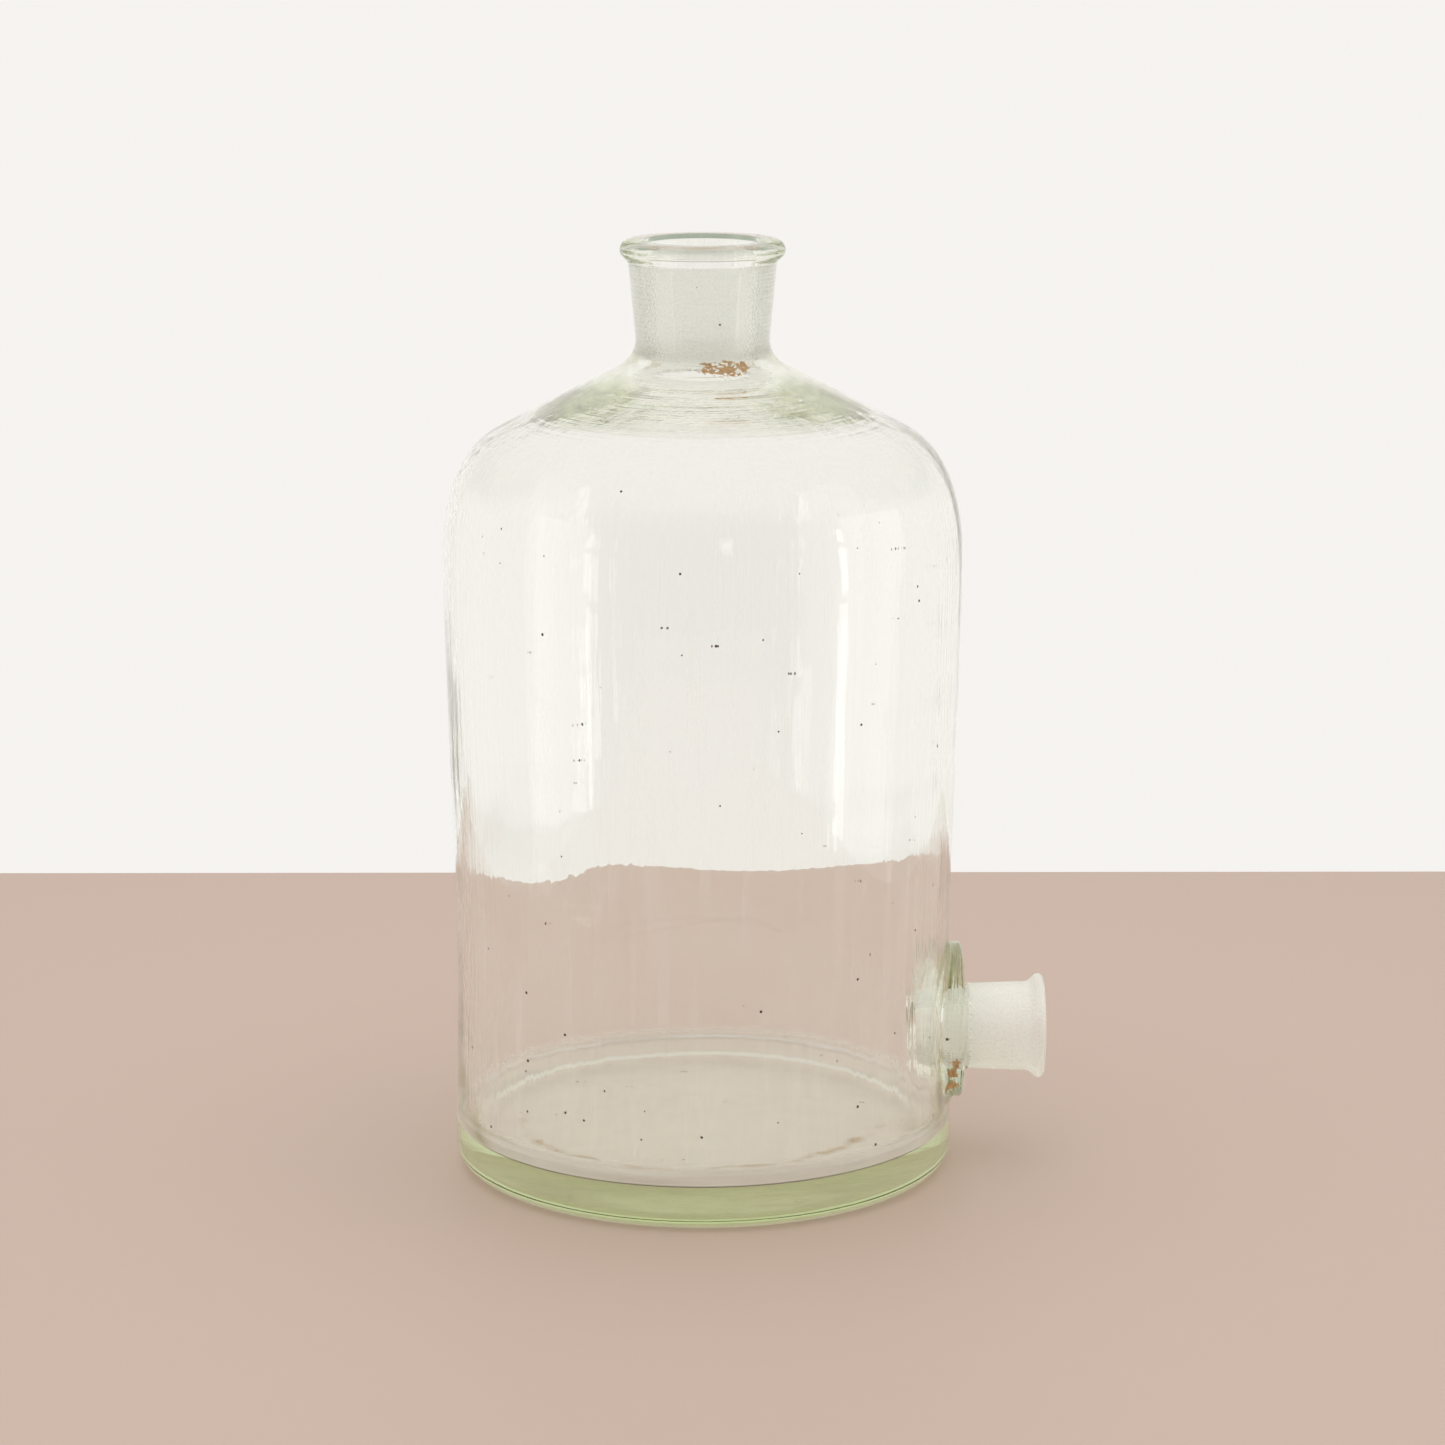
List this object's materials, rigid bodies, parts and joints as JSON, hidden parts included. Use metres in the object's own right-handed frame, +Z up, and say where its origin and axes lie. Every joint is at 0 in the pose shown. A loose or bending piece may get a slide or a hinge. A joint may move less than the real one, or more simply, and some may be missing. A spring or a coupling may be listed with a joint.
{
  "type": "aspirator bottle",
  "caption": "Clear glass aspirator bottle with a thick base, domed shoulder, ground neck socket and a short ground side outlet fused low on the wall.",
  "frame": {"origin": "centre of the flat underside, on the bottle's axis", "axes": "+Z up along the bottle's axis, +X out along the side outlet"},
  "size_m": [0.2175, 0.1864, 0.3367],
  "materials": {
    "clear_glass": "fire polished, very slightly green",
    "base_glass": "fire polished, pale green through the thickness",
    "ground_glass": "smooth outside, finely ground and translucent inside"
  },
  "bodies": {
    "root": {"base": "base_glass", "body_wall": "clear_glass", "shoulder": "clear_glass", "neck_socket": "ground_glass", "lip_bead": "clear_glass", "outlet_boss": "clear_glass", "outlet_tube": "ground_glass", "outlet_rim": "ground_glass"}
  },
  "joints": []
}
